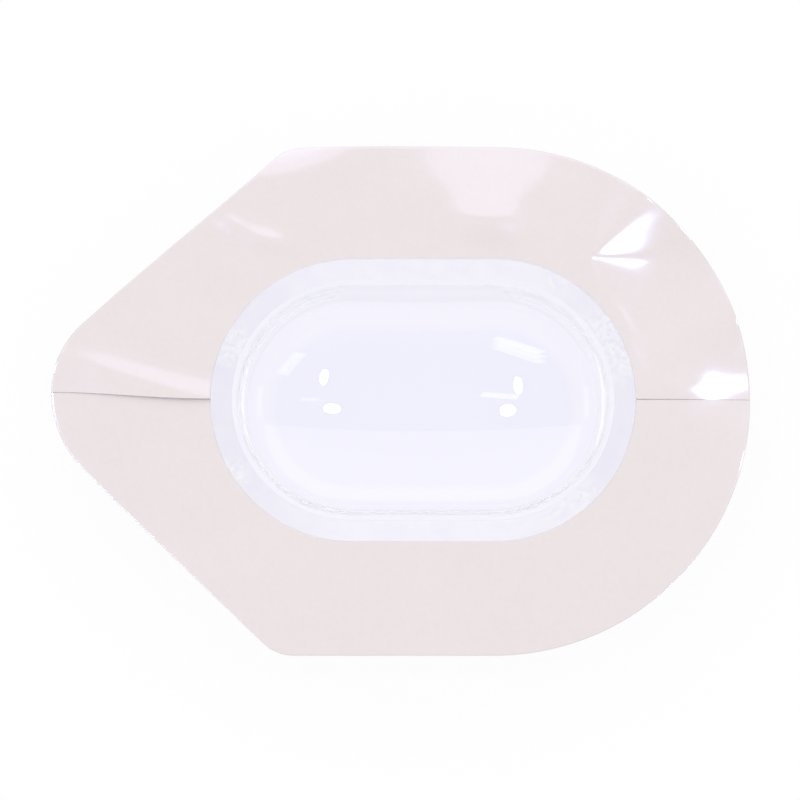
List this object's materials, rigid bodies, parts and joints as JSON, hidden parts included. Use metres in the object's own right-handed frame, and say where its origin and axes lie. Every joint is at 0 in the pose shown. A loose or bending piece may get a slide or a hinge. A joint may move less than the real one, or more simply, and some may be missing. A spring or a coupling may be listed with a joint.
{
  "type": "surgical eye shield",
  "caption": "Clear formed dome on an adhesive film frame, its adhesive covered by release paper in two halves that peel away from a middle slit.",
  "frame": {"origin": "under the middle of the sheet, at the height of the crown's lowest point", "axes": "+X along the sheet from the narrow nose end to the round temple end, +Z out of the side that goes on the skin, +Y towards the upper half of the paper in the picture"},
  "size_m": [0.105, 0.077, 0.0147],
  "materials": {
    "clear_dome": "clear thermoformed sheet with a faint blue tint, glossy",
    "adhesive": "clear tacky coat, wetted out in patches",
    "film": "thin clear film, glossy",
    "release_paper": "pale pinkish beige paper with a glossy coat"
  },
  "bodies": {
    "shield": {"dome_shell": "clear_dome", "skin_adhesive": "adhesive", "backing_film": "film"},
    "upper_paper": {"release_liner_upper": "release_paper"},
    "lower_paper": {"release_liner_lower": "release_paper"}
  },
  "joints": [
    {"name": "upper_paper_peel", "type": "hinge", "parent": "shield", "child": "upper_paper", "pos_m": [0, 0.03855, 0.0145], "axis": [-1, 0, 0], "range_deg": [0, 180]},
    {"name": "lower_paper_peel", "type": "hinge", "parent": "shield", "child": "lower_paper", "pos_m": [0, -0.03855, 0.0145], "axis": [1, 0, 0], "range_deg": [0, 180]}
  ]
}
